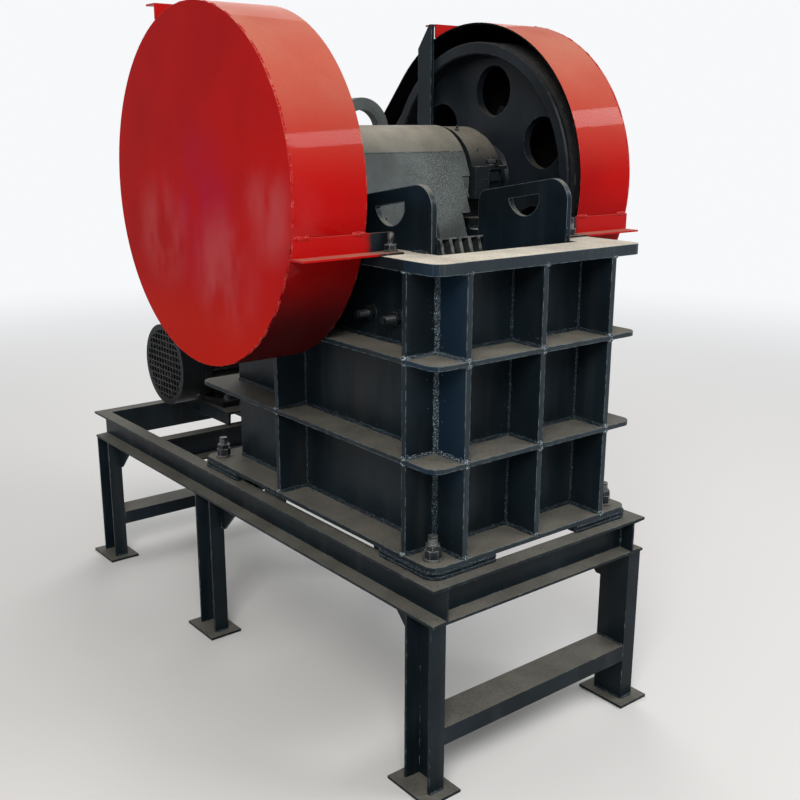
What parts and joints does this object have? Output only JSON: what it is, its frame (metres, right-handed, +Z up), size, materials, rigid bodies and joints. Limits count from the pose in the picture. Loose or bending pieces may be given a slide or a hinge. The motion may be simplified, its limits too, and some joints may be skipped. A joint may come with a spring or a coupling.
{
  "type": "jaw crusher",
  "caption": "Small jaw crusher with a ribbed welded frame, guarded flywheels and an electric belt drive, on a steel channel stand.",
  "frame": {"origin": "on the ground under the middle of the stand", "axes": "+X towards the fixed jaw, along the stand; +Y towards the belt-drive side; +Z up"},
  "size_m": [2.044, 1.162, 1.9357],
  "materials": {
    "frame_paint": "semi-gloss dark blue-grey paint, dusty on top",
    "stand_paint": "satin dark blue-grey paint, dusty on top",
    "casting_paint": "satin grey paint over a rough casting",
    "guard_paint": "glossy red paint",
    "flywheel_paint": "satin black paint",
    "motor_paint": "satin black paint",
    "jaw_steel": "painted cast manganese steel",
    "bolt_steel": "dull steel with traces of paint",
    "belt_rubber": "matte black"
  },
  "bodies": {
    "frame": {"stand_beam_near": "stand_paint", "stand_beam_far": "stand_paint", "stand_beam_front": "stand_paint", "stand_beam_rear": "stand_paint", "stand_cross_beams": "stand_paint", "stand_legs_front": "stand_paint", "stand_legs_middle": "stand_paint", "stand_legs_rear": "stand_paint", "stand_ties": "stand_paint", "motor_rails": "stand_paint", "corner_pads": "frame_paint", "anchor_bolts": "bolt_steel", "base_flange": "frame_paint", "lower_rib": "frame_paint", "upper_rib": "frame_paint", "top_flange": "frame_paint", "side_wall_near": "frame_paint", "side_wall_far": "frame_paint", "front_wall": "frame_paint", "rear_wall": "frame_paint", "front_upright_ribs": "frame_paint", "side_upright_ribs_near": "frame_paint", "side_upright_ribs_far": "frame_paint", "cheek_plate_near": "frame_paint", "cheek_plate_far": "frame_paint", "cheek_bolts": "bolt_steel", "fixed_jaw_plate": "jaw_steel", "bearing_housings": "casting_paint", "bearing_caps": "casting_paint", "guard_disc_near": "guard_paint", "guard_band_near": "guard_paint", "guard_disc_far": "guard_paint", "guard_band_far": "guard_paint", "guard_brackets": "guard_paint", "guard_bars": "frame_paint", "toggle_block": "casting_paint", "toggle_plate": "casting_paint", "tension_rod": "bolt_steel", "tension_spring": "bolt_steel", "motor_body": "motor_paint", "motor_fan_cover": "motor_paint", "motor_pulley": "flywheel_paint", "v_belts": "belt_rubber"},
    "rotor": {"eccentric_shaft": "bolt_steel", "flywheel_near": "flywheel_paint", "flywheel_far": "flywheel_paint"},
    "jaw": {"pitman": "casting_paint", "swing_jaw_plate": "jaw_steel", "lifting_eye": "casting_paint"}
  },
  "joints": [
    {"name": "shaft_turn", "type": "hinge", "parent": "frame", "child": "rotor", "pos_m": [0.262, 0, 1.472], "axis": [0, 1, 0], "continuous": true},
    {"name": "jaw_swing", "type": "hinge", "parent": "frame", "child": "jaw", "pos_m": [0.262, 0, 1.472], "axis": [0, -1, 0], "range_deg": [0, 0.9]}
  ]
}
